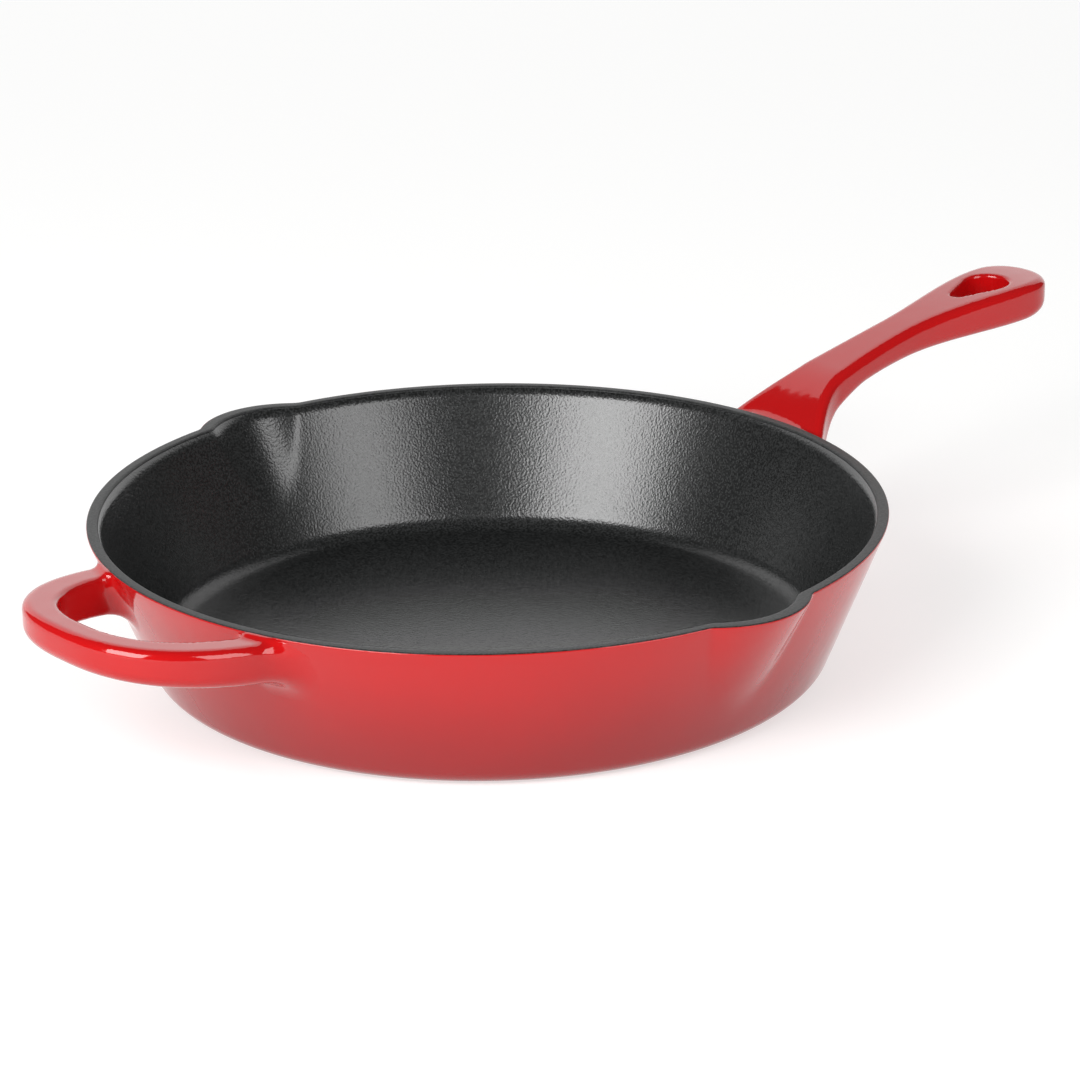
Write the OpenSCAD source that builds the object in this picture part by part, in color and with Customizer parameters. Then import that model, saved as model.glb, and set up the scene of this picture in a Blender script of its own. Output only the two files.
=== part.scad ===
// Enamelled cast iron skillet: one iron casting with a wall, two pouring lips, a long handle
// with a hanging hole and a looped helper handle, all under a thin coat of fired enamel.
// Origin: centre of the underside, on the surface it stands on. +X runs along the long
// handle, +Z is up, and the pouring lips point along +Y and -Y.

/* [Pan] */
// Outside diameter at the rim
rim_d = 260; // [220:1:300]
// Height from the underside to the top of the rim
pan_h = 51; // [42:0.5:60]
// Lean of the wall from vertical, degrees
wall_lean = 22; // [15:0.5:28]
// Thickness of the wall with its enamel
wall_t = 3.5; // [3.4:0.1:6]
// Thickness of the floor with its enamel
floor_t = 4.6; // [4:0.1:7]
// Outside radius where the wall meets the underside
foot_r = 7.7; // [4:0.1:10]
// Inside radius where the wall meets the floor
floor_r = 8; // [5:0.5:12]

/* [Enamel] */
// Thickness of the enamel coat
coat_t = 0.4; // [0.3:0.05:0.8]
// Depth of the black band on the outside of the rim
band_h = 0.5; // [0.5:0.1:1.5]

/* [Pouring lips] */
// How far each lip stands out past the rim circle
spout_out = 7.3; // [4:0.1:9]
// Radius of the lip's rounded channel, outside
spout_r = 33; // [26:0.5:40]
// Lean of the lip's channel from vertical, degrees
spout_lean = 31.6; // [29:0.1:34]
// Extra metal at the lip's nose
spout_extra = 1; // [0:0.1:1.5]

/* [Long handle] */
// Distance from the pan's centre to the handle's tip
handle_end = 258; // [255:0.5:272]
// Height of the handle's top face at its highest
handle_top = 79.2; // [70:0.1:90]
// Half the width of the handle at its neck
neck_w = 8.5; // [7.5:0.1:10]
// Half the width of the handle at its widest, round the hanging hole
paddle_w = 15.1; // [14:0.1:18]
// Extra half width where the handle spreads into the wall
root_w = 10; // [8:0.5:14]
// Thickness of the handle at its neck
neck_t = 9.9; // [8.5:0.1:12]
// Extra thickness of the handle at its outer end
paddle_t = 3.4; // [1.5:0.1:4]
// Extra thickness where the handle runs down into the wall
root_t = 11; // [9:0.5:15]

/* [Hanging hole] */
// Radius of the hole's round end
hole_r = 8.3; // [5:0.1:9]
// Radius of the hole's narrow end
hole_tip_r = 3.2; // [2:0.1:4]
// Distance from the pan's centre to the round end's centre
hole_x = 234.4; // [230:0.1:240]
// Distance between the centres of the hole's two ends
hole_len = 13.5; // [10:0.5:20]

/* [Helper handle] */
// How far the loop's outer edge is from the pan's centre
loop_end = 169.4; // [162:0.1:172]
// Half the width of the loop, outside
loop_w = 46.2; // [43:0.1:52]
// Width of the bar at the loop's outer end
loop_bar = 10.3; // [9:0.1:13]
// Width of the bar at the loop's sides
loop_leg = 11; // [9:0.5:12]
// Thickness of the loop where it meets the wall
loop_t = 13.1; // [11:0.1:15]
// How much thinner the loop gets for each unit outwards
loop_thin = 0.04; // [0:0.01:0.06]
// Height of the loop's top face where it meets the wall
loop_top = 49.8; // [46:0.1:49.8]
// Rise of the loop's top face for each unit outwards
loop_rise = 0.1; // [0:0.01:0.12]

/* [Hidden] */
$fn = 96;

rim_r = rim_d / 2;
lean_tan = tan(wall_lean);
lean_cos = cos(wall_lean);
lean_sin = sin(wall_lean);

// Radius at the rim's height of the wall's outer and inner faces
inner_rim_r = rim_r - wall_t / lean_cos;
// Centres of the two corner arcs, worked back down the wall from the rim
foot_x = rim_r - (pan_h - foot_r * (1 - lean_sin)) * lean_tan - foot_r * lean_cos;
floor_x = inner_rim_r - (pan_h - floor_t - floor_r * (1 - lean_sin)) * lean_tan
    - floor_r * lean_cos;

// A radius past the lips' noses, and the height above the floor where their channels start
reach_r = rim_r + spout_out + 3;
channel_start = 4;
// Angle between the points of the profile's corner arcs
arc_step = 8.5;

// Outer profile of the pan, drawn in by g
function outer_line(g) = concat([[0, g]],
    [for (a = [-90:arc_step:-wall_lean])
        [foot_x + (foot_r - g) * cos(a), foot_r + (foot_r - g) * sin(a)]],
    [[rim_r - g / lean_cos, pan_h], [0, pan_h]]);

// Profile of the pan's hollow, let out by g
function hollow_line(g) = concat([[0, floor_t - g]],
    [for (a = [-90:arc_step:-wall_lean])
        [floor_x + (floor_r + g) * cos(a), floor_t + floor_r + (floor_r + g) * sin(a)]],
    [[inner_rim_r + g / lean_cos, pan_h],
        [inner_rim_r + g / lean_cos + lean_tan, pan_h + 1], [0, pan_h + 1]]);

// A leaning round bar, long enough to pass the whole wall, whose nose is at radius nose_r
// at the rim's height
bar_len = 130;
module lip_bar(bar_r, nose_r) {
    for (side = [0, 180])
        rotate([0, 0, side])
            translate([0, nose_r - bar_r / cos(spout_lean), pan_h])
                rotate([-spout_lean, 0, 0])
                    cylinder(r = bar_r, h = bar_len, center = true);
}

// Everything inside the pan's outer face, drawn in by g, up to height top
module pan_outside(g, top) {
    rotate_extrude() outer_line_cut(g, top);
    intersection() {
        lip_bar(spout_r - g, rim_r + spout_out - g / cos(spout_lean));
        translate([0, 0, floor_t]) cylinder(r = reach_r, h = top - floor_t);
    }
}

module outer_line_cut(g, top) {
    intersection() {
        polygon(outer_line(g));
        square([rim_r + 1, top]);
    }
}

// The pan's hollow, let out by g
module pan_hollow(g) {
    nose_in = wall_t / cos(spout_lean) + spout_extra;
    rotate_extrude() polygon(hollow_line(g));
    intersection() {
        lip_bar(spout_r - wall_t + g, rim_r + spout_out - nose_in + g / cos(spout_lean));
        translate([0, 0, floor_t + channel_start]) cylinder(r = reach_r, h = pan_h);
    }
}

function smooth(t) = t <= 0 ? 0 : t >= 1 ? 1 : t * t * (3 - 2 * t);
function past(x, start, reach, power) = x >= start ? 0 : pow((start - x) / reach, power);

// Long handle's lines along X. The top face climbs away from the wall and levels off
// before the tip; the sides and the underside flare where the handle runs into the wall.
// Each *_x is where a change starts, and each *_len is the length that it takes.
nose_len = 15;
widest_x = handle_end - nose_len;
root_x = 124;
level_x = 250;
climb = 14.1;
climb_len = 95;
dip_x = 155;
dip = 10.1;
dip_len = 27;
flare_x = 151;
flare_len = 22;
gusset_x = 166;
gusset_len = 38;
taper_x = 188;
taper = 2.1;
taper_len = 38;
swell_x = 170;
swell_len = 70;
tip_thin = 3.5;
nose_power = 2.2;

function held(x) = max(x, root_x);
function beyond(x) = pow(max(0, (x - level_x) / (handle_end - level_x)), 2);
function handle_z(x) = handle_top - climb * past(held(x), level_x, climb_len, 1.7)
    - dip * past(held(x), dip_x, dip_len, 2);
function handle_side(x) = neck_w
    + (paddle_w - neck_w) * smooth((x - taper_x) / (widest_x - taper_x))
    + taper * past(held(x), taper_x, taper_len, 2)
    + root_w * past(held(x), flare_x, flare_len, 1.6);
function nose_side(t) = paddle_w * pow(max(0.001, 1 - pow(t, nose_power)), 1 / nose_power);
function handle_w(x) = x > widest_x ? nose_side((x - widest_x) / nose_len) : handle_side(x);
function handle_t(x) = neck_t + paddle_t * smooth((x - swell_x) / swell_len)
    + root_t * past(held(x), gusset_x, gusset_len, 1.4) - tip_thin * beyond(x);

// Points of a rounded bar section, half width w and height h, at x with its top at z
section_n = 16;
edge_power = 0.45;
function edge(v) = sign(v) * pow(abs(v), edge_power);
function bar_ring(x, w, h, z) = [for (i = [0:section_n - 1])
    let (a = 360 * (i + 0.5) / section_n)
    [x, w * edge(cos(a)), z - h / 2 + h / 2 * edge(sin(a))]];

// A closed loft through rings of equal count
module loft(rings) {
    n = len(rings[0]);
    last = len(rings) - 1;
    polyhedron(
        points = [for (ring = rings) each ring],
        faces = concat(
            [[for (i = [0:n - 1]) i]],
            [for (s = [0:last - 1], i = [0:n - 1])
                let (j = (i + 1) % n) [s * n + i, (s + 1) * n + i, (s + 1) * n + j, s * n + j]],
            [[for (i = [n - 1:-1:0]) last * n + i]]));
}

// Where the bar's loft starts, inside the wall, and the distance between its sections
bar_start = 112;
station_gap = 6;

// Long handle's bar, drawn in by g all round
module handle_bar(g) {
    straight = [for (x = [bar_start:station_gap:widest_x - station_gap / 2]) x];
    nose = [for (a = [0:18:72]) widest_x + nose_len * sin(a)];
    stations = concat(straight, nose, [handle_end - 0.05]);
    loft([for (x = stations)
        let (pull = x > widest_x ? g * (x - widest_x) / nose_len : 0)
        bar_ring(x - pull, max(0.3, handle_w(x) - g), handle_t(x) - 2 * g, handle_z(x) - g)]);
}

// Teardrop hanging hole, its edge moved out by g
module hanging_hole(g) {
    translate([0, 0, handle_top - 30])
        linear_extrude(40)
            hull() {
                translate([hole_x, 0]) circle(r = hole_r + g, $fn = 48);
                translate([hole_x - hole_len, 0]) circle(r = hole_tip_r + g, $fn = 32);
            }
}

module long_handle(g) {
    difference() {
        handle_bar(g);
        hanging_hole(g);
    }
}

// The plain cone of the wall, drawn in by g, which the handles run into
module wall_cone(g) {
    cylinder(r1 = rim_r - pan_h * lean_tan - g / lean_cos, r2 = rim_r - g / lean_cos, h = pan_h);
}

// Helper handle: centre of the loop's squarish curve, and where its height is given
loop_x = -115;
loop_wall_x = -128;
bulge_power = 0.8;
function bulge(v) = sign(v) * pow(abs(v), bulge_power);
function squircle(a) = [-bulge(cos(a)), bulge(sin(a))];
function loop_point(a, reach, half) = [loop_x + reach * squircle(a)[0], half * squircle(a)[1]];
function loop_z(x) = loop_top + loop_rise * (loop_wall_x - x);
function loop_h(x) = loop_t - loop_thin * max(0, loop_wall_x - x);

// One section of the loop: a rounded bar from the inner edge to the outer edge
function loop_ring(a, g) =
    let (out = loop_point(a, loop_end + loop_x, loop_w),
        inn = loop_point(a, loop_end + loop_x - loop_bar, loop_w - loop_leg),
        mid = (out + inn) / 2,
        half = (out - inn) / 2,
        pull = 1 - g / norm(half))
    [for (i = [0:section_n - 1])
        let (b = 360 * (i + 0.5) / section_n,
            p = mid + half * pull * edge(cos(b)),
            h = loop_h(p[0]) / 2)
        [p[0], p[1], loop_z(p[0]) - h + (h - g) * edge(sin(b))]];

// The loop's sections run past a half turn, so that both ends reach inside the wall
loop_turn = 96;
loop_step = 8;

module helper_handle(g) {
    loft([for (a = [-loop_turn:loop_step:loop_turn]) loop_ring(a, g)]);
}

module pan_casting() {
    color("dimgray")
        difference() {
            pan_outside(coat_t, pan_h - coat_t);
            pan_hollow(coat_t);
        }
}

module main_handle_casting() {
    color("dimgray")
        difference() {
            long_handle(coat_t);
            wall_cone(coat_t);
        }
}

module helper_handle_casting() {
    color("dimgray")
        difference() {
            helper_handle(coat_t);
            wall_cone(coat_t);
        }
}

module interior_enamel() {
    color("#2b2c2c")
        intersection() {
            difference() {
                pan_hollow(coat_t);
                pan_hollow(0);
            }
            cylinder(r = reach_r, h = pan_h - coat_t);
        }
}

// Black band that wraps over the top of the rim and a little way down its outside
module rim_enamel() {
    color("#3c3e3e") {
        difference() {
            pan_outside(0, pan_h);
            pan_outside(coat_t, pan_h - coat_t);
            pan_hollow(0);
            cylinder(r = rim_r - wall_t * 2, h = pan_h - coat_t);
            translate([0, 0, -1]) cylinder(r = reach_r, h = pan_h - band_h + 1);
            lip_cutter();
        }
    }
}

// Room under the band's flat for the enamel of the hollow, which stops at the same height
module lip_cutter() {
    intersection() {
        pan_hollow(coat_t);
        cylinder(r = reach_r, h = pan_h - coat_t);
    }
}

module exterior_enamel() {
    color("#c8252a")
        difference() {
            pan_outside(0, pan_h - band_h);
            pan_outside(coat_t, pan_h);
            cylinder(r = foot_x, h = foot_r);
            handle_bar(coat_t);
            helper_handle(coat_t);
        }
}

module base_enamel() {
    color("#a82226") cylinder(r = foot_x, h = coat_t);
}

module main_handle_enamel() {
    color("#c8252a")
        difference() {
            long_handle(0);
            long_handle(coat_t);
            wall_cone(0);
        }
}

module helper_handle_enamel() {
    color("#c8252a")
        difference() {
            helper_handle(0);
            helper_handle(coat_t);
            wall_cone(0);
        }
}

pan_casting();
main_handle_casting();
helper_handle_casting();
interior_enamel();
rim_enamel();
exterior_enamel();
base_enamel();
main_handle_enamel();
helper_handle_enamel();
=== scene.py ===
import math

import bmesh
import bpy
import numpy as np
from mathutils import Matrix, Vector


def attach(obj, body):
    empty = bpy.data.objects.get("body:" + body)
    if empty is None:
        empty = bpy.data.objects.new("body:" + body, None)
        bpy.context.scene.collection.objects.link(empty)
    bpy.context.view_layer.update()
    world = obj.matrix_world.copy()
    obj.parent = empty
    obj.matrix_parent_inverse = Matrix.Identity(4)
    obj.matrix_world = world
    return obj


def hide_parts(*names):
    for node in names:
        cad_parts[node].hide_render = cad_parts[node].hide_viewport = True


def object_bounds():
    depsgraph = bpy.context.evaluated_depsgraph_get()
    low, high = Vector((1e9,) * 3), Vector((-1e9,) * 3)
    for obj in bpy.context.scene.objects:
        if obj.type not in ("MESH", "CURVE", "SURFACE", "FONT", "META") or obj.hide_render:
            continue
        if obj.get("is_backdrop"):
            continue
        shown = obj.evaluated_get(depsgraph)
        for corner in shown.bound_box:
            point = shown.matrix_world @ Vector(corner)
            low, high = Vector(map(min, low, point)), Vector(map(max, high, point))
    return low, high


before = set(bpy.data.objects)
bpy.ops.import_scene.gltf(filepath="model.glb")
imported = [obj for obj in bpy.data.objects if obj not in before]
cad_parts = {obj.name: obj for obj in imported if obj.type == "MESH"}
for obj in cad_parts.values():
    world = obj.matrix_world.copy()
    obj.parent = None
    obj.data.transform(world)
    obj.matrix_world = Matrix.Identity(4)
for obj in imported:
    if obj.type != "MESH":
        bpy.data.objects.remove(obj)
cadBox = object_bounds()
mm = 0.001
print("frame loaded")

# The pan: every size in mm
pan = {
    "rimRadius": 130.0,
    "height": 51.0,
    "wallLean": math.radians(22),
    "wallThick": 3.5,
    "floorThick": 4.6,
    "footRadius": 7.7,
    "floorFillet": 8.0,
    "edgeRadius": 0.6,
    "innerEdge": 1.2,
    "redWrap": 35,  # how far round the outer edge the red reaches, in degrees
    "coat": 0.4,
    "spinSteps": 540,
    "crowding": 0.3,  # how strongly the steps gather at the pouring lips
    "footSteps": 12,
    "filletSteps": 14,
    "wallSteps": 14,
    "floorSteps": 12,
}

# The pouring lips, one at each side of the pan
lip = {
    "reach": 7.3,
    "radius": 33.0,
    "lean": math.radians(31.6),
    "noseExtra": 1.0,
    "blend": 1.5,
    "keepOff": 60,  # the lips leave everything nearer the axis than this alone
}

leanTan = math.tan(pan["wallLean"])
leanCos = math.cos(pan["wallLean"])
leanSin = math.sin(pan["wallLean"])
wallTilt = -22  # where a rounded corner meets the wall, in degrees


def hexToLinear(code):
    out = []
    for i in (0, 2, 4):
        v = int(code[i:i + 2], 16) / 255
        out.append(v / 12.92 if v <= 0.04045 else ((v + 0.055) / 1.055) ** 2.4)
    return (*out, 1.0)


def addNode(tree, kind, settings=None, inputs=None):
    # Adds a node, sets its properties, then links or fills its inputs
    node = tree.nodes.new(kind)
    for key, value in (settings or {}).items():
        setattr(node, key, value)
    for key, value in (inputs or {}).items():
        if isinstance(value, bpy.types.NodeSocket):
            tree.links.new(value, node.inputs[key])
        else:
            node.inputs[key].default_value = value
    return node


def arc(cx, cz, radius, start, end, count):
    # Points of an arc in the plane of the profile, angles in degrees
    turns = [math.radians(start + (end - start) * i / (count - 1)) for i in range(count)]
    return [(cx + radius * math.cos(a), cz + radius * math.sin(a)) for a in turns]


def straight(a, b, count):
    return [(a[0] + (b[0] - a[0]) * i / count, a[1] + (b[1] - a[1]) * i / count)
            for i in range(1, count)]


def wallX(z, inset=0.0):
    # Radius of the outer wall's face at height z, drawn in by inset
    return pan["rimRadius"] - (pan["height"] - z) * leanTan - inset / leanCos


def outerFace(inset, top):
    # From the middle of the underside, round the foot and up the wall to height top
    r = pan["footRadius"]
    footX = pan["rimRadius"] - (pan["height"] - r * (1 - leanSin)) * leanTan - r * leanCos
    corner = arc(footX, r, r - inset, -90, wallTilt, pan["footSteps"])
    end = (wallX(top, inset), top)
    return corner + straight(corner[-1], end, pan["wallSteps"]) + [end]


def innerFace(inset, top):
    # From the floor's edge up the inner wall to height top; inset pushes it into the iron
    r = pan["floorFillet"]
    rimX = pan["rimRadius"] - pan["wallThick"] / leanCos
    floorZ = pan["floorThick"]
    floorX = rimX - (pan["height"] - floorZ - r * (1 - leanSin)) * leanTan - r * leanCos
    corner = arc(floorX, floorZ + r, r + inset, -90, wallTilt, pan["filletSteps"])
    end = (rimX - (pan["height"] - top) * leanTan + inset / leanCos, top)
    return corner + straight(corner[-1], end, pan["wallSteps"]) + [end]


def floorLine(z, edgeX):
    # Rings across a flat disc, from the axis out to its edge
    return [(edgeX * i / pan["floorSteps"], z) for i in range(pan["floorSteps"])]


def buildSpinTree():
    # Spins a profile round Z and pushes it out into the two pouring lips
    tree = bpy.data.node_groups.new("panSpin", "GeometryNodeTree")
    face = tree.interface
    face.new_socket("Geometry", in_out="INPUT", socket_type="NodeSocketGeometry")
    for name, kind in (("Steps", "Int"), ("Profile points", "Int"), ("Crowding", "Float"),
                       ("Lip reach", "Float"), ("Lip radius", "Float"), ("Lip lean", "Float"),
                       ("Lip blend", "Float"), ("Nose extra", "Float"), ("Wall", "Float"),
                       ("Rim radius", "Float"), ("Rim height", "Float"), ("Finish", "Material")):
        face.new_socket(name, in_out="INPUT", socket_type="NodeSocket" + kind)
    face.new_socket("Geometry", in_out="OUTPUT", socket_type="NodeSocketGeometry")
    given = addNode(tree, "NodeGroupInput").outputs

    spot = addNode(tree, "ShaderNodeSeparateXYZ", None,
                   {0: addNode(tree, "GeometryNodeInputPosition").outputs[0]}).outputs
    value = {socket.name: socket for socket in given}
    value.update(x=spot["X"], y=spot["Y"])
    # Each row is a name, an operation and its terms: numbers, or the names of earlier values
    for name, operation, *terms in (
            ("steps", "ADD", "Steps", 1),
            ("along", "ADD", "x", 0.5),
            ("turn", "MULTIPLY", "along", 2 * math.pi),
            ("twice", "MULTIPLY", "turn", 2),
            ("wave", "SINE", "twice"),
            ("gather", "MULTIPLY", "wave", "Crowding"),
            ("angle", "ADD", "turn", "gather"),
            ("across", "ADD", "y", 0.5),
            ("lastRow", "SUBTRACT", "Profile points", 1),
            ("rowShare", "MULTIPLY", "across", "lastRow"),
            ("row", "ROUND", "rowShare")):
        value[name] = addNode(tree, "ShaderNodeMath", {"operation": operation},
                              {i: value.get(t, t) for i, t in enumerate(terms)}).outputs[0]
    grid = addNode(tree, "GeometryNodeMeshGrid", None, {
        "Size X": 1.0, "Size Y": 1.0,
        "Vertices X": value["steps"], "Vertices Y": given["Profile points"]})
    for name in ("radius", "height", "side", "inset"):
        column = addNode(tree, "GeometryNodeInputNamedAttribute", {"data_type": "FLOAT"}, {"Name": name})
        value[name] = addNode(tree, "GeometryNodeSampleIndex",
                              {"data_type": "FLOAT", "domain": "POINT", "clamp": True},
                              {"Geometry": given["Geometry"], "Value": column.outputs[0],
                               "Index": value["row"]}).outputs[0]
    wallRows = [
        ("signedSine", "SINE", "angle"),
        ("sine", "ABSOLUTE", "signedSine"),
        ("cosine", "COSINE", "angle"),
        ("drop", "SUBTRACT", "Rim height", "height"),
        ("lipCosine", "COSINE", "Lip lean"),
        ("lipTangent", "TANGENT", "Lip lean"),
        ("slide", "MULTIPLY", "drop", "lipTangent"),
        ("lean", "MULTIPLY", "drop", leanTan),
        ("bareWall", "SUBTRACT", "Rim radius", "lean"),
        ("wallInset", "DIVIDE", "inset", leanCos),
        ("wallOut", "SUBTRACT", "bareWall", "wallInset"),
        ("twoInsets", "MULTIPLY", "inset", 2),
        ("thick", "SUBTRACT", "Wall", "twoInsets"),
        ("wallThick", "DIVIDE", "thick", leanCos),
        ("wallIn", "SUBTRACT", "wallOut", "wallThick"),
        ("bareNose", "ADD", "Rim radius", "Lip reach"),
        ("lipInset", "DIVIDE", "inset", "lipCosine"),
        ("noseOut", "SUBTRACT", "bareNose", "lipInset"),
        ("lipThick", "DIVIDE", "thick", "lipCosine"),
        ("thinNose", "SUBTRACT", "noseOut", "lipThick"),
        ("noseIn", "SUBTRACT", "thinNose", "Nose extra"),
        ("barOut", "SUBTRACT", "Lip radius", "inset"),
        ("bareBar", "SUBTRACT", "Lip radius", "Wall"),
        ("barIn", "ADD", "bareBar", "inset"),
    ]
    # How far the lip's leaning bar stands out past the wall on this ray; * is Out, then In
    lipRows = [
        ("long*", "DIVIDE", "bar*", "lipCosine"),
        ("tip*", "SUBTRACT", "nose*", "slide"),
        ("mid*", "SUBTRACT", "tip*", "long*"),
        ("flat*", "DIVIDE", "cosine", "bar*"),
        ("flatSquare*", "POWER", "flat*", 2),
        ("steep*", "DIVIDE", "sine", "long*"),
        ("steepSquare*", "POWER", "steep*", 2),
        ("quad*", "ADD", "flatSquare*", "steepSquare*"),
        ("midSine*", "MULTIPLY", "mid*", "sine"),
        ("longSquare*", "POWER", "long*", 2),
        ("half*", "DIVIDE", "midSine*", "longSquare*"),
        ("share*", "DIVIDE", "mid*", "long*"),
        ("shareSquare*", "POWER", "share*", 2),
        ("rest*", "SUBTRACT", "shareSquare*", 1),
        ("halfSquare*", "POWER", "half*", 2),
        ("quadRest*", "MULTIPLY", "quad*", "rest*"),
        ("inside*", "SUBTRACT", "halfSquare*", "quadRest*"),
        ("clipped*", "MAXIMUM", "inside*", 0),
        ("root*", "SQRT", "clipped*"),
        ("far*", "ADD", "half*", "root*"),
        ("ray*", "DIVIDE", "far*", "quad*"),
        ("meets*", "GREATER_THAN", "inside*", 0),
        ("hit*", "MULTIPLY", "ray*", "meets*"),
        ("blended*", "SMOOTH_MAX", "hit*", "wall*", "Lip blend"),
        ("push*", "SUBTRACT", "blended*", "wall*"),
    ]
    placeRows = [
        ("outerPush", "MULTIPLY", "pushOut", "side"),
        ("inner", "SUBTRACT", 1, "side"),
        ("innerPush", "MULTIPLY", "pushIn", "inner"),
        ("push", "ADD", "outerPush", "innerPush"),
        ("nearWall", "GREATER_THAN", "radius", lip["keepOff"]),
        ("shift", "MULTIPLY", "push", "nearWall"),
        ("finalRadius", "ADD", "radius", "shift"),
        ("xSize", "MULTIPLY", "finalRadius", "cosine"),
        ("ySize", "MULTIPLY", "finalRadius", "signedSine"),
        ("xPlace", "MULTIPLY", "xSize", mm),
        ("yPlace", "MULTIPLY", "ySize", mm),
        ("zPlace", "MULTIPLY", "height", mm),
    ]
    bothLips = [tuple(t.replace("*", end) if isinstance(t, str) else t for t in row)
                for end in ("Out", "In") for row in lipRows]
    for name, operation, *terms in wallRows + bothLips + placeRows:
        value[name] = addNode(tree, "ShaderNodeMath", {"operation": operation},
                              {i: value.get(t, t) for i, t in enumerate(terms)}).outputs[0]
    place = addNode(tree, "ShaderNodeCombineXYZ", None, {
        "X": value["xPlace"], "Y": value["yPlace"], "Z": value["zPlace"]})
    moved = addNode(tree, "GeometryNodeSetPosition", None,
                    {"Geometry": grid.outputs["Mesh"], "Position": place.outputs[0]})
    welded = addNode(tree, "GeometryNodeMergeByDistance", None,
                     {"Geometry": moved.outputs[0], "Distance": 0.00001})
    smooth = addNode(tree, "GeometryNodeSetShadeSmooth", None, {"Geometry": welded.outputs[0]})
    real = addNode(tree, "GeometryNodeRealizeInstances", None, {"Geometry": smooth.outputs[0]})
    done = addNode(tree, "GeometryNodeSetMaterial", None,
                   {"Geometry": real.outputs[0], "Material": given["Finish"]})
    addNode(tree, "NodeGroupOutput", None, {0: done.outputs[0]})
    return tree


def spinPiece(name, profile, material, tree):
    # profile: (radius, height, side, inset) rows round a closed outline, side 1 outside and 0 inside
    flat = bpy.data.meshes.new(name + "Profile")
    flat.from_pydata([(p[0] * mm, 0, p[1] * mm) for p in profile], [], [])
    for column, label in enumerate(("radius", "height", "side", "inset")):
        flat.attributes.new(label, "FLOAT", "POINT").data.foreach_set(
            "value", [p[column] for p in profile])
    source = bpy.data.objects.new(name + "Source", flat)
    bpy.context.collection.objects.link(source)
    spin = source.modifiers.new("spin", "NODES")
    spin.node_group = tree
    values = {"Steps": pan["spinSteps"], "Profile points": len(profile), "Crowding": pan["crowding"],
              "Lip reach": lip["reach"], "Lip radius": lip["radius"], "Lip lean": lip["lean"],
              "Lip blend": lip["blend"], "Nose extra": lip["noseExtra"], "Wall": pan["wallThick"],
              "Rim radius": pan["rimRadius"], "Rim height": pan["height"], "Finish": material}
    for item in tree.interface.items_tree:
        if item.in_out == "INPUT" and item.name in values:
            spin[item.identifier] = values[item.name]
    shape = bpy.data.meshes.new_from_object(
        source.evaluated_get(bpy.context.evaluated_depsgraph_get()))
    bpy.data.objects.remove(source)
    return finishMesh(name, shape, material)


def finishMesh(name, shape, material):
    # Welds, turns every face outwards and makes the named object
    tidy = bmesh.new()
    tidy.from_mesh(shape)
    bmesh.ops.remove_doubles(tidy, verts=tidy.verts, dist=0.000004)
    bmesh.ops.recalc_face_normals(tidy, faces=tidy.faces)
    tidy.to_mesh(shape)
    tidy.free()
    shape.name = name
    shape.shade_smooth()
    piece = bpy.data.objects.new(name, shape)
    bpy.context.collection.objects.link(piece)
    if not shape.materials:
        shape.materials.append(material)
    return piece


def tagged(points, side, inset):
    return [(x, z, side, inset) for x, z in points]


# Where both handles run into the wall, in mm
root = {
    "depth": 3.0,  # how far their ends reach into the wall
    "lift": 0.02,  # how far the skin stands off the wall
    "belowRim": 1.05,
    "skirt": 0.8,  # how far the skin runs on past the fillet
}

# The long handle, in mm, as distances from the pan's axis
longHandle = {
    "tip": 258.0,
    "nose": 15.0,
    "nosePower": 2.2,
    "top": 79.2,
    "neckHalf": 8.5,
    "paddleHalf": 15.1,
    "rootHalf": 10.0,
    "neckThick": 9.9,
    "paddleExtra": 3.4,
    "rootExtra": 11.0,
    "edge": 3.2,
    "underEdge": 3.6,
    "tipUnderEdge": 5.2,
    "holeX": 234.4,
    "holeRadius": 8.3,
    "holeTipRadius": 3.2,
    "holeLength": 13.5,
    "holeEdge": 1.0,
    "cell": 0.8,
    "rootX": 124,  # the curves stop changing inside this
    "levelX": 250, "climb": 14.1, "climbLength": 95, "climbPower": 1.7,
    "dipX": 155, "dip": 10.1, "dipLength": 27, "dipPower": 2,
    "thickX": 170, "thickLength": 70,
    "gussetX": 166, "gussetLength": 38, "gussetPower": 1.4,
    "thinX": 250, "tipThin": 3.5,
    "waistX": 188, "waistLength": 38, "waistPower": 2, "taper": 2.1,
    "flareX": 151, "flareLength": 22, "flarePower": 1.6,
    "roundX": 240, "roundLength": 12,
    "fillet": 2.6, "filletExtra": 5.0, "filletZ": 47.5, "filletLength": 8,
}

# The helper handle: a looped bar, in mm
helper = {
    "middleX": -115.0,
    "reach": 54.4,
    "half": 46.2,
    "bar": 10.3,
    "leg": 11.0,
    "thick": 13.1,
    "taper": 0.04,
    "taperX": -128,
    "top": 49.8,
    "rise": 0.1,
    "power": 2.5,
    "edge": 3.0,
    "underEdge": 4.2,
    "gapEdge": 1.6,
    "fillet": 4.5,
    "filletExtra": 4.0,
    "filletLength": 5,
    "cell": 0.9,
}


def smoothStep(t):
    t = np.clip(t, 0, 1)
    return t * t * (3 - 2 * t)


def past(x, start, reach, power):
    return np.clip((start - x) / reach, 0, None) ** power


def smoothMin(a, b, k):
    h = np.clip(k - np.abs(a - b), 0, None) / k
    return np.minimum(a, b) - h * h * k / 4


def roundedMeet(a, b, r):
    # Intersection of two solids with their shared edge rounded to radius r
    u, v = a + r, b + r
    return np.hypot(np.maximum(u, 0), np.maximum(v, 0)) + np.minimum(np.maximum(u, v), 0) - r


def wallDistance(p):
    # Distance outside the leaning wall
    return (np.hypot(p[0], p[1]) - wallX(p[2])) * leanCos


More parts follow.
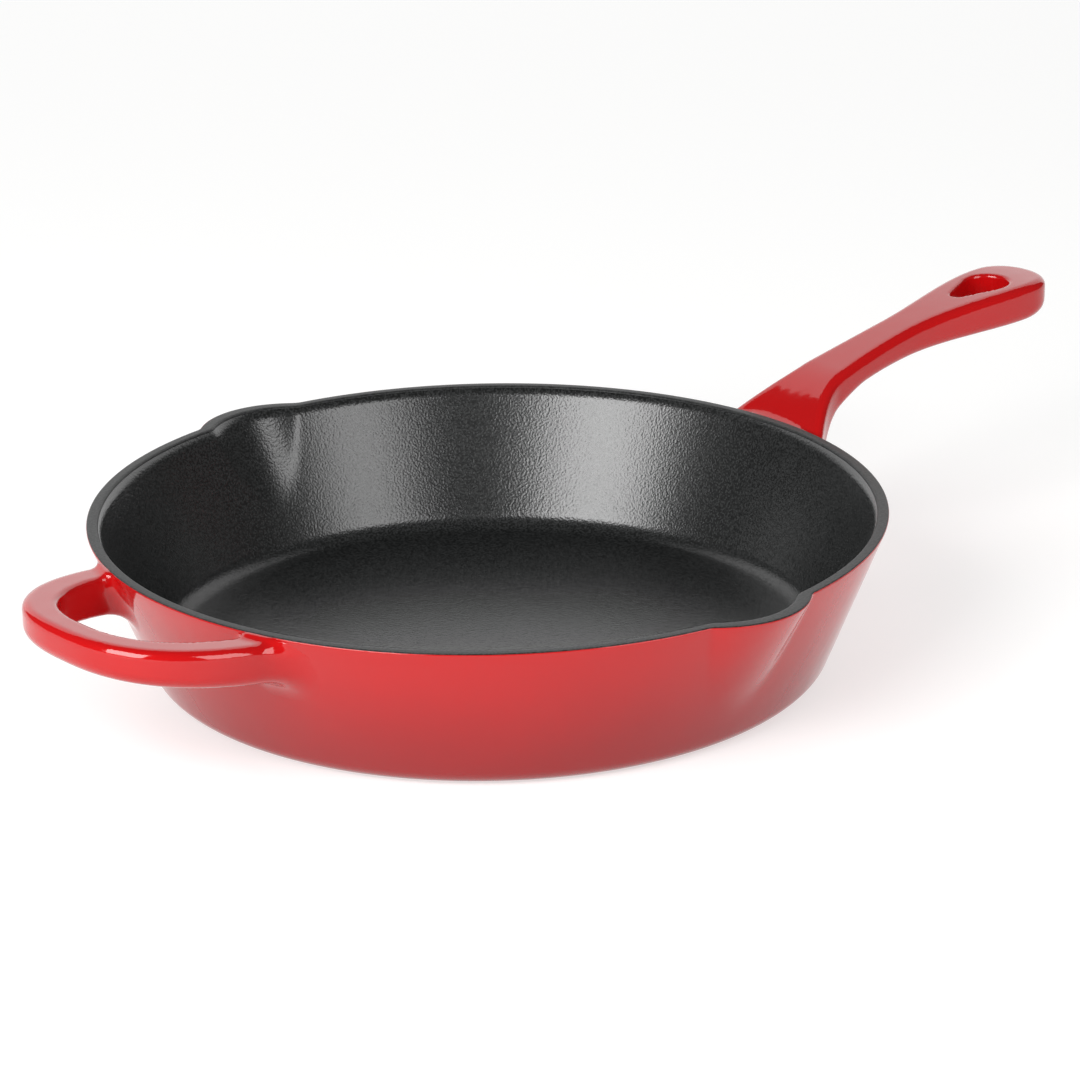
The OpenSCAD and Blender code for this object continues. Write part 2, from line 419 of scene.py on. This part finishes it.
def rooted(bar, p, blend):
    # Blends a handle into the wall with a fillet, and keeps only the wall's face close round its root
    wall = np.maximum(wallDistance(p) + root["lift"], p[2] - pan["height"] + root["belowRim"])
    skin = np.maximum(smoothMin(bar, wall, blend), bar - blend - root["skirt"])
    return np.maximum(skin, -(wallDistance(p) + root["depth"]))


def barTop(x):
    h, x = longHandle, np.maximum(x, longHandle["rootX"])
    return (h["top"] - h["climb"] * past(x, h["levelX"], h["climbLength"], h["climbPower"])
            - h["dip"] * past(x, h["dipX"], h["dipLength"], h["dipPower"]))


def barThick(x):
    h, c = longHandle, np.maximum(x, longHandle["rootX"])
    return (h["neckThick"] + h["paddleExtra"] * smoothStep((x - h["thickX"]) / h["thickLength"])
            + h["rootExtra"] * past(c, h["gussetX"], h["gussetLength"], h["gussetPower"])
            - h["tipThin"] * np.clip((x - h["thinX"]) / (h["tip"] - h["thinX"]), 0, None) ** 2)


def barHalf(x):
    h, c = longHandle, np.maximum(x, longHandle["rootX"])
    wide = h["tip"] - h["nose"]
    swell = smoothStep((x - h["waistX"]) / (wide - h["waistX"]))
    return (h["neckHalf"] + (h["paddleHalf"] - h["neckHalf"]) * swell
            + h["taper"] * past(c, h["waistX"], h["waistLength"], h["waistPower"])
            + h["rootHalf"] * past(c, h["flareX"], h["flareLength"], h["flarePower"]))


def slope(f, x):
    return f(x + 0.5) - f(x - 0.5)


def longHandleField(p, inset=0.0):
    # Negative inside the handle, which blends into the wall at its root
    x, y, z = p
    wide = longHandle["tip"] - longHandle["nose"]
    side = (np.abs(y) - barHalf(x)) / np.hypot(1, slope(barHalf, x))
    nose = squircleDistance(np.maximum(x - wide, 0), y, longHandle["nose"],
                            longHandle["paddleHalf"], longHandle["nosePower"])
    plan = np.where(x > wide, nose, side)
    # Teardrop: the hull of two circles, as a tapering capsule
    h = longHandle["holeLength"]
    r1, r2 = longHandle["holeTipRadius"], longHandle["holeRadius"]
    u, v = x - (longHandle["holeX"] - h), np.abs(y)
    b = (r1 - r2) / h
    a = math.sqrt(1 - b * b)
    k = -v * b + u * a
    hole = np.where(k < 0, np.hypot(u, v) - r1,
                    np.where(k > a * h, np.hypot(u - h, v) - r2, v * a + u * b - r1))
    over = (z - barTop(x)) / np.hypot(1, slope(barTop, x))
    low = lambda t: barTop(t) - barThick(t)
    under = (low(x) - z) / np.hypot(1, slope(low, x))
    bar = roundedMeet(plan, over, longHandle["edge"])
    toTip = smoothStep((x - longHandle["roundX"]) / longHandle["roundLength"])
    bar = roundedMeet(bar, under, longHandle["underEdge"]
                      + (longHandle["tipUnderEdge"] - longHandle["underEdge"]) * toTip)
    bar = roundedMeet(bar, -hole, longHandle["holeEdge"])
    lower = smoothStep((longHandle["filletZ"] - z) / longHandle["filletLength"])
    return rooted(bar, p, longHandle["fillet"] + longHandle["filletExtra"] * lower) + inset


def squircleDistance(x, y, a, b, power):
    u, v = np.abs(x) / a + 1e-6, np.abs(y) / b + 1e-6
    q = u ** power + v ** power
    f = q ** (1 / power)
    gx = q ** (1 / power - 1) * u ** (power - 1) / a
    gy = q ** (1 / power - 1) * v ** (power - 1) / b
    return (f - 1) / np.hypot(gx, gy)


def helperField(p, inset=0.0):
    x, y, z = p
    dx = x - helper["middleX"]
    outer = squircleDistance(dx, y, helper["reach"], helper["half"], helper["power"])
    inner = squircleDistance(dx, y, helper["reach"] - helper["bar"],
                             helper["half"] - helper["leg"], helper["power"])
    top = helper["top"] + helper["rise"] * (helper["taperX"] - x)
    thick = helper["thick"] - helper["taper"] * np.maximum(0, helper["taperX"] - x)
    over, under = z - top, top - thick - z
    bar = roundedMeet(outer, over, helper["edge"])
    bar = roundedMeet(bar, under, helper["underEdge"])
    gap = roundedMeet(-inner, np.maximum(over, under), helper["gapEdge"])
    bar = np.maximum(bar, gap)
    lower = smoothStep((helper["top"] - z) / helper["filletLength"])
    return rooted(bar, p, helper["fillet"] + helper["filletExtra"] * lower) + inset


def surfaceNet(field, low, high, cell):
    # Naive surface nets: one vertex in each cell that the surface crosses, then drawn onto it
    axes = [np.arange(low[i], high[i] + cell, cell) for i in range(3)]
    grid = np.meshgrid(*axes, indexing="ij")
    value = field(grid)
    inside = value < 0
    shape = [n - 1 for n in value.shape]
    total = np.zeros(shape + [3])
    count = np.zeros(shape)
    corners = [(i, j, k) for i in (0, 1) for j in (0, 1) for k in (0, 1)]

    def at(a, c):
        return a[c[0]:c[0] + shape[0], c[1]:c[1] + shape[1], c[2]:c[2] + shape[2]]

    for c in corners:
        for axis in range(3):
            if c[axis]:
                continue
            d = tuple(c[i] + (i == axis) for i in range(3))
            va, vb = at(value, c), at(value, d)
            cross = at(inside, c) != at(inside, d)
            t = np.where(cross, va / np.where(cross, va - vb, 1), 0)
            for i in range(3):
                total[..., i] += np.where(cross, c[i] + (t if i == axis else 0), 0)
            count += cross
    used = count > 0
    number = np.full(shape, -1)
    number[used] = np.arange(used.sum())
    base = np.stack(np.meshgrid(*[axes[i][:-1] for i in range(3)], indexing="ij"), -1)
    points = base[used] + total[used] / count[used][:, None] * cell
    for _ in range(4):  # steps onto the surface, along the slope of the field
        f = field(points.T)
        slopeAt = np.stack([(field((points + e).T) - field((points - e).T)) / 0.04
                            for e in np.eye(3) * 0.02], 1)
        step = f[:, None] * slopeAt / (np.sum(slopeAt ** 2, 1)[:, None] + 1e-9)
        points -= np.clip(step, -cell / 2, cell / 2)
    faces = []
    for axis in range(3):
        o1, o2 = [i for i in range(3) if i != axis]
        index = np.argwhere(inside != np.roll(inside, -1, axis))
        keep = (index[:, axis] < shape[axis]) & np.all(index[:, [o1, o2]] > 0, 1)
        keep &= (index[:, o1] < shape[o1]) & (index[:, o2] < shape[o2])
        index = index[keep]
        quads = []
        for s1, s2 in ((1, 1), (0, 1), (0, 0), (1, 0)):
            cellIndex = index.copy()
            cellIndex[:, o1] -= s1
            cellIndex[:, o2] -= s2
            quads.append(number[tuple(cellIndex.T)])
        quad = np.stack(quads, 1)
        solidFirst = inside[tuple(index.T)] ^ (axis == 1)
        quad[~solidFirst] = quad[~solidFirst][:, ::-1]
        faces.append(quad[np.all(quad >= 0, 1)])
    return points, np.concatenate(faces)


def netPiece(name, field, low, high, cell, material):
    # The closed skin of a field, as a named object
    points, faces = surfaceNet(field, low, high, cell)
    shape = bpy.data.meshes.new(name)
    shape.from_pydata((points * mm).tolist(), [], faces.tolist())
    shape.validate()
    shape.shade_smooth()
    shape.materials.append(material)
    piece = bpy.data.objects.new(name, shape)
    bpy.context.collection.objects.link(piece)
    print(name, len(faces), "faces")
    return piece


# Fired enamels and the iron under them; colours are sRGB hex
finishes = {
    "red": "a90b0d",
    # the darker red is painted shade, laid on the exterior towards its foot
    "redPaintedShade": "84080b",
    "black": "0d0e0e",
    "blackLight": "292a2a",
    "iron": "3a3a3b",
    "floor": "bcbcbb",
}


def newMaterial(name):
    material = bpy.data.materials.new(name)
    material.use_nodes = True
    tree = material.node_tree
    tree.nodes.clear()
    shader = addNode(tree, "ShaderNodeBsdfPrincipled")
    addNode(tree, "ShaderNodeOutputMaterial", None, {"Surface": shader.outputs[0]})
    spot = addNode(tree, "ShaderNodeTexCoord").outputs["Object"]
    return material, tree, shader, spot


def glossRedEnamel():
    # Vitreous enamel, sprayed and fired: clear red glass over iron, with painted shade darkening it
    # towards the foot, and the slow swell of a surface that flowed in the kiln
    material, tree, shader, spot = newMaterial("glossRedVitreousEnamel")
    shader.inputs["IOR"].default_value = 1.52
    # Painted shade: the colour is darkened from the rim down to the foot, a little unevenly, standing in
    # for the lower wall's shading
    height = addNode(tree, "ShaderNodeSeparateXYZ", None, {"Vector": spot}).outputs["Z"]
    shadeJitter = addNode(tree, "ShaderNodeTexNoise", None, {"Vector": spot, "Scale": 1 / 0.03, "Detail": 3.0})
    drift = addNode(tree, "ShaderNodeMath", {"operation": "MULTIPLY_ADD"}, {
        0: shadeJitter.outputs[0], 1: 0.012, 2: height})
    shade = addNode(tree, "ShaderNodeMapRange", {"interpolation_type": "SMOOTHSTEP"}, {
        "Value": drift.outputs[0], "From Min": 0.006, "From Max": 0.056})
    colour = addNode(tree, "ShaderNodeMix", {"data_type": "RGBA"}, {
        "Factor": shade.outputs[0], 6: hexToLinear(finishes["redPaintedShade"]), 7: hexToLinear(finishes["red"])})
    tree.links.new(colour.outputs[2], shader.inputs["Base Color"])
    haze = addNode(tree, "ShaderNodeTexNoise", None, {"Vector": spot, "Scale": 1 / 0.012, "Detail": 4.0})
    gloss = addNode(tree, "ShaderNodeMapRange", None, {
        "Value": haze.outputs[0], "From Min": 0.35, "From Max": 0.7, "To Min": 0.05, "To Max": 0.11})
    tree.links.new(gloss.outputs[0], shader.inputs["Roughness"])
    swell = addNode(tree, "ShaderNodeTexNoise", None, {"Vector": spot, "Scale": 1 / 0.009, "Detail": 1.5})
    bump = addNode(tree, "ShaderNodeBump", None, {
        "Height": swell.outputs[0], "Strength": 0.3, "Distance": 0.0003})
    tree.links.new(bump.outputs[0], shader.inputs["Normal"])
    return material


def satinBlackEnamel(name, shine, roughness, gritHeight):
    # Matt black vitreous enamel: dark, with a fine fired grit that sparkles in the light
    # and the odd pimple where a bubble froze
    material, tree, shader, spot = newMaterial(name)
    shader.inputs["Roughness"].default_value = roughness
    shader.inputs["IOR"].default_value = 1.62
    shader.inputs["Specular IOR Level"].default_value = shine
    # 0.7 mm grit: the real grit is nearer 0.2 mm, too fine to show
    grit = addNode(tree, "ShaderNodeTexNoise", None, {
        "Vector": spot, "Scale": 1 / 0.0007, "Detail": 0.5, "Roughness": 0.6})
    speck = addNode(tree, "ShaderNodeMapRange", None, {
        "Value": grit.outputs[0], "From Min": 0.38, "From Max": 0.62})
    colour = addNode(tree, "ShaderNodeMix", {"data_type": "RGBA"}, {
        "Factor": speck.outputs[0], 6: hexToLinear(finishes["black"]),
        7: hexToLinear(finishes["blackLight"])})
    tree.links.new(colour.outputs[2], shader.inputs["Base Color"])
    bubbles = addNode(tree, "ShaderNodeTexVoronoi", None, {"Vector": spot, "Scale": 1 / 0.014})
    pimple = addNode(tree, "ShaderNodeMapRange", {"interpolation_type": "SMOOTHSTEP"}, {
        "Value": bubbles.outputs["Distance"], "From Min": 0.06, "From Max": 0.0})
    first = addNode(tree, "ShaderNodeBump", None, {
        "Height": grit.outputs[0], "Strength": 1.0, "Distance": gritHeight})
    second = addNode(tree, "ShaderNodeBump", None, {
        "Height": pimple.outputs[0], "Strength": 0.3, "Distance": 0.0002, "Normal": first.outputs[0]})
    tree.links.new(second.outputs[0], shader.inputs["Normal"])
    return material


def castIron():
    # Sand-cast grey iron, shot blasted before enamelling: dull, with a coarse sand texture
    material, tree, shader, spot = newMaterial("shotBlastedCastIron")
    shader.inputs["Metallic"].default_value = 0.7
    shader.inputs["Roughness"].default_value = 0.7
    sand = addNode(tree, "ShaderNodeTexNoise", None, {"Vector": spot, "Scale": 1 / 0.0012, "Detail": 3.0})
    shader.inputs["Base Color"].default_value = hexToLinear(finishes["iron"])
    bump = addNode(tree, "ShaderNodeBump", None, {
        "Height": sand.outputs[0], "Strength": 0.6, "Distance": 0.0003})
    tree.links.new(bump.outputs[0], shader.inputs["Normal"])
    return material


redEnamel = glossRedEnamel()
blackEnamel = satinBlackEnamel("satinBlackVitreousEnamel", 0.5, 0.27, 0.0001)
rimBlack = satinBlackEnamel("satinBlackRimEnamel", 0.28, 0.5, 0.00008)
iron = castIron()

coat = pan["coat"]
top = pan["height"]
edge = pan["edgeRadius"]
bandTop = top - edge * (1 + leanSin)  # where the red stops and the black band starts
innerEdge = pan["innerEdge"]
innerTop = top - innerEdge * (1 - leanSin)
innerRim = pan["rimRadius"] - pan["wallThick"] / leanCos
spinTree = buildSpinTree()


def innerX(z, inset=0.0):
    return innerRim - (top - z) * leanTan + inset / leanCos


outCentre = wallX(bandTop) - edge * leanCos
outside, outsideBack = outerFace(0, bandTop), outerFace(coat, bandTop)
outside += arc(outCentre, top - edge, edge, wallTilt, pan["redWrap"], 6)[1:]
footEdge = outside[0][0]
loop = tagged(outside, 1, 0) + tagged(outsideBack[::-1], 1, coat)
exterior = spinPiece("exteriorEnamel", loop + loop[:1], redEnamel, spinTree)

inside, insideBack = innerFace(0, innerTop), innerFace(coat, innerTop)
floorTop = floorLine(pan["floorThick"], inside[0][0])
floorBack = floorLine(pan["floorThick"] - coat, insideBack[0][0])
interior = spinPiece(
    "interiorEnamel",
    tagged(floorTop + inside, 0, 0) + tagged((floorBack + insideBack)[::-1], 0, coat),
    blackEnamel, spinTree)

inCentre = innerX(innerTop) + innerEdge * leanCos
over = (arc(outCentre, top - edge, edge, pan["redWrap"], 90, 6)
        + arc(inCentre, top - innerEdge, innerEdge, 90, 158, 9))
under = [(innerX(top - coat, coat), top - coat), (wallX(top - coat, coat), top - coat),
         (wallX(bandTop, coat), bandTop)]
lane = [(x, z, min(1, max(0, (x - innerX(z)) / (wallX(z) - innerX(z)))), 0) for x, z in over]
lane += [(*under[0], 0, coat), (*under[1], 1, coat), (*under[2], 1, coat)]
rim = spinPiece("rimEnamel", lane + lane[:1], rimBlack, spinTree)

base = spinPiece(
    "baseEnamel",
    tagged(floorLine(0, footEdge) + [(footEdge, 0)], 1, 0)
    + tagged(([*floorLine(coat, footEdge), (footEdge, coat)])[::-1], 1, 0),
    redEnamel, spinTree)

ironIn = innerFace(coat, top - coat)
ironOut = outerFace(coat, top - coat)
casting = spinPiece(
    "panCasting",
    tagged(floorLine(coat, ironOut[0][0]) + ironOut, 1, coat)
    + tagged((floorLine(pan["floorThick"] - coat, ironIn[0][0]) + ironIn)[::-1], 0, coat),
    iron, spinTree)
print("pan made")

handleBox = ((112.0, -30.0, 8.0), (271.0, 30.0, 82.0))
loopBox = ((-172.0, -62.0, 12.0), (-92.0, 62.0, 56.0))
ironOffset = coat + 0.1  # the iron, just clear of the back of its coat
ironCell = 2.0

handleEnamel = netPiece("mainHandleEnamel", longHandleField, *handleBox,
                        longHandle["cell"], redEnamel)
handleIron = netPiece("mainHandleCasting", lambda p: longHandleField(p, ironOffset),
                      *handleBox, ironCell, iron)
helperEnamel = netPiece("helperHandleEnamel", helperField, *loopBox,
                        helper["cell"], redEnamel)
helperIron = netPiece("helperHandleCasting", lambda p: helperField(p, ironOffset),
                      *loopBox, ironCell, iron)
print("handles made")

for piece, node, slot in (
        (casting, "pan_casting", "iron"), (handleIron, "main_handle_casting", "iron"),
        (helperIron, "helper_handle_casting", "iron"), (interior, "interior_enamel", "black_enamel"),
        (rim, "rim_enamel", "black_enamel"), (exterior, "exterior_enamel", "red_enamel"),
        (base, "base_enamel", "red_enamel"), (handleEnamel, "main_handle_enamel", "red_enamel"),
        (helperEnamel, "helper_handle_enamel", "red_enamel")):
    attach(piece, "root")
    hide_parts(node)

# Camera: a long lens, a little above the rim
view = {
    "azimuth": math.radians(-40.8),
    "elevation": math.radians(20.16),
    "roll": math.radians(-0.84),
    "distance": 1.3,
    "aside": 0.0169,
    "lower": -0.01105,
    "focalLength": 133.6,
}


def placeCamera():
    a, e = view["azimuth"], view["elevation"]
    back = Vector((math.sin(a) * math.cos(e), -math.cos(a) * math.cos(e), math.sin(e)))
    right = Vector((0, 0, 1)).cross(back).normalized()
    up = back.cross(right)
    c, s = math.cos(view["roll"]), math.sin(view["roll"])
    right, up = c * right + s * up, c * up - s * right
    lens = bpy.data.cameras.new("camera")
    lens.lens = view["focalLength"]
    lens.clip_end = 50
    camera = bpy.data.objects.new("camera", lens)
    bpy.context.collection.objects.link(camera)
    turn = Matrix((right, up, back)).transposed().to_4x4()
    spot = back * view["distance"] + right * view["aside"] + up * view["lower"]
    camera.matrix_world = Matrix.Translation(spot + Vector((0, 0, pan["height"] * mm))) @ turn
    bpy.context.scene.camera = camera


# Two softboxes either side of the camera and a white wall behind the pan; azimuth 0 is at -Y
studio = {
    "leftBox": {"azimuth": -80, "elevation": 27, "distance": 1.5, "size": (0.95, 1.1), "glow": 7.4},
    "rightBox": {"azimuth": 4, "elevation": 27, "distance": 1.5, "size": (0.75, 1.1), "glow": 3.7},
    "whiteWall": {"azimuth": 140, "elevation": 28, "distance": 2.4, "size": (4.5, 2.5), "glow": 1.0},
    "ambient": 0.1,
    "floorGlow": 0.55,
    "floorHalf": 6,
    "floorDrop": 0.0004,  # keeps the floor just clear of the underside
    "wattsPerGlow": 4,  # for each square metre of a panel
}


def addPanel(name, box):
    # A flat lamp that faces the pan, its power worked out from how bright its face is
    a, e = math.radians(box["azimuth"]), math.radians(box["elevation"])
    out = Vector((math.sin(a) * math.cos(e), -math.cos(a) * math.cos(e), math.sin(e)))
    lamp = bpy.data.lights.new(name, "AREA")
    lamp.shape = "RECTANGLE"
    lamp.size, lamp.size_y = box["size"]
    lamp.energy = box["glow"] * studio["wattsPerGlow"] * lamp.size * lamp.size_y
    panel = bpy.data.objects.new(name, lamp)
    bpy.context.collection.objects.link(panel)
    panel.location = out * box["distance"]
    panel.rotation_euler = out.to_track_quat("Z", "Y").to_euler()


def buildStudio():
    ground = bmesh.new()
    bmesh.ops.create_grid(ground, x_segments=1, y_segments=1, size=studio["floorHalf"])
    bmesh.ops.translate(ground, verts=ground.verts, vec=(0, 0, -studio["floorDrop"]))
    shape = bpy.data.meshes.new("floor")
    ground.to_mesh(shape)
    ground.free()
    floor = bpy.data.objects.new("floor", shape)
    bpy.context.collection.objects.link(floor)
    # Seamless pale paper, matt, lit evenly enough to read as white
    material, _, shader, _ = newMaterial("palePaperSweep")
    shader.inputs["Base Color"].default_value = hexToLinear(finishes["floor"])
    shader.inputs["Roughness"].default_value = 0.9
    shader.inputs["Emission Color"].default_value = (1, 1, 1, 1)
    shader.inputs["Emission Strength"].default_value = studio["floorGlow"]
    shape.materials.append(material)
    floor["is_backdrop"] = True
    world = bpy.data.worlds.new("studio")
    world.use_nodes = True
    world.node_tree.nodes["Background"].inputs[0].default_value = (1, 1, 1, 1)
    world.node_tree.nodes["Background"].inputs[1].default_value = studio["ambient"]
    bpy.context.scene.world = world
    bpy.context.scene.view_settings.view_transform = "Standard"
    for name in ("leftBox", "rightBox", "whiteWall"):
        addPanel(name, studio[name])


placeCamera()
buildStudio()
print("studio made")

low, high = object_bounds()
{"cad": [list(cadBox[0]), list(cadBox[1])], "visual": [list(low), list(high)]}
